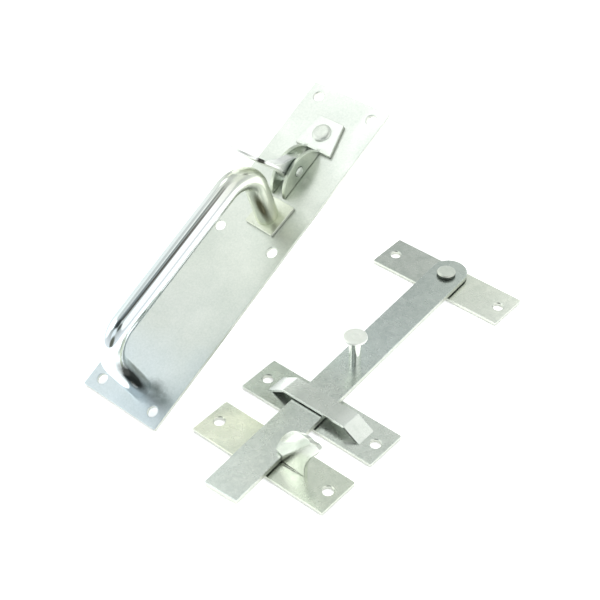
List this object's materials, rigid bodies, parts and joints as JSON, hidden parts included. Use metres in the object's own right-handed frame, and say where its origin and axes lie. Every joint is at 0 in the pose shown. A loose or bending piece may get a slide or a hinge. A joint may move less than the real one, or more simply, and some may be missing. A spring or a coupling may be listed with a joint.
{
  "type": "thumb latch set",
  "caption": "Zinc-plated thumb latch set for a gate or shed: back plate with D pull and thumb lever, pivoting latch bar with lifting knob, bridge keeper and hooked catch.",
  "frame": {"origin": "centre of the pivot plate's two screw holes on its back face, under the latch bar's rivet", "axes": "+X along the three small plates and across the back plate, +Y from the catch towards the pivot plate, +Z out from the surface that the small plates are screwed to"},
  "size_m": [0.1442, 0.2037, 0.1061],
  "materials": {
    "bright_zinc": "bright zinc plate, softly mirrored with a faint haze",
    "polished_zinc": "polished round rod, near mirror",
    "satin_zinc": "satin zinc plate on rolled steel, fine mottled grain",
    "rivet_steel": "plated rivet steel, smooth with slight tooling marks"
  },
  "bodies": {
    "fixed_plates": {"back_plate": "bright_zinc", "pull_handle": "polished_zinc", "handle_washer": "bright_zinc", "lever_bracket": "bright_zinc", "bracket_rivet": "rivet_steel", "lever_pin": "rivet_steel", "pivot_plate": "satin_zinc", "pivot_washer": "satin_zinc", "pivot_rivet": "rivet_steel", "keeper_plate": "satin_zinc", "keeper_bridge": "satin_zinc", "catch_plate": "satin_zinc", "catch_hook": "bright_zinc"},
    "bar": {"latch_bar": "satin_zinc", "lift_knob": "rivet_steel"},
    "lever": {"thumb_lever": "bright_zinc"}
  },
  "joints": [
    {"name": "bar_pivot", "type": "hinge", "parent": "fixed_plates", "child": "bar", "pos_m": [0, 0, 0.0043], "axis": [0, 0, -1], "range_deg": [0, 2.8]},
    {"name": "thumb_lever_hinge", "type": "hinge", "parent": "fixed_plates", "child": "lever", "pos_m": [-0.0657, -0.04963, 0.07253], "axis": [-1, 0, 0], "range_deg": [0, 28]}
  ]
}
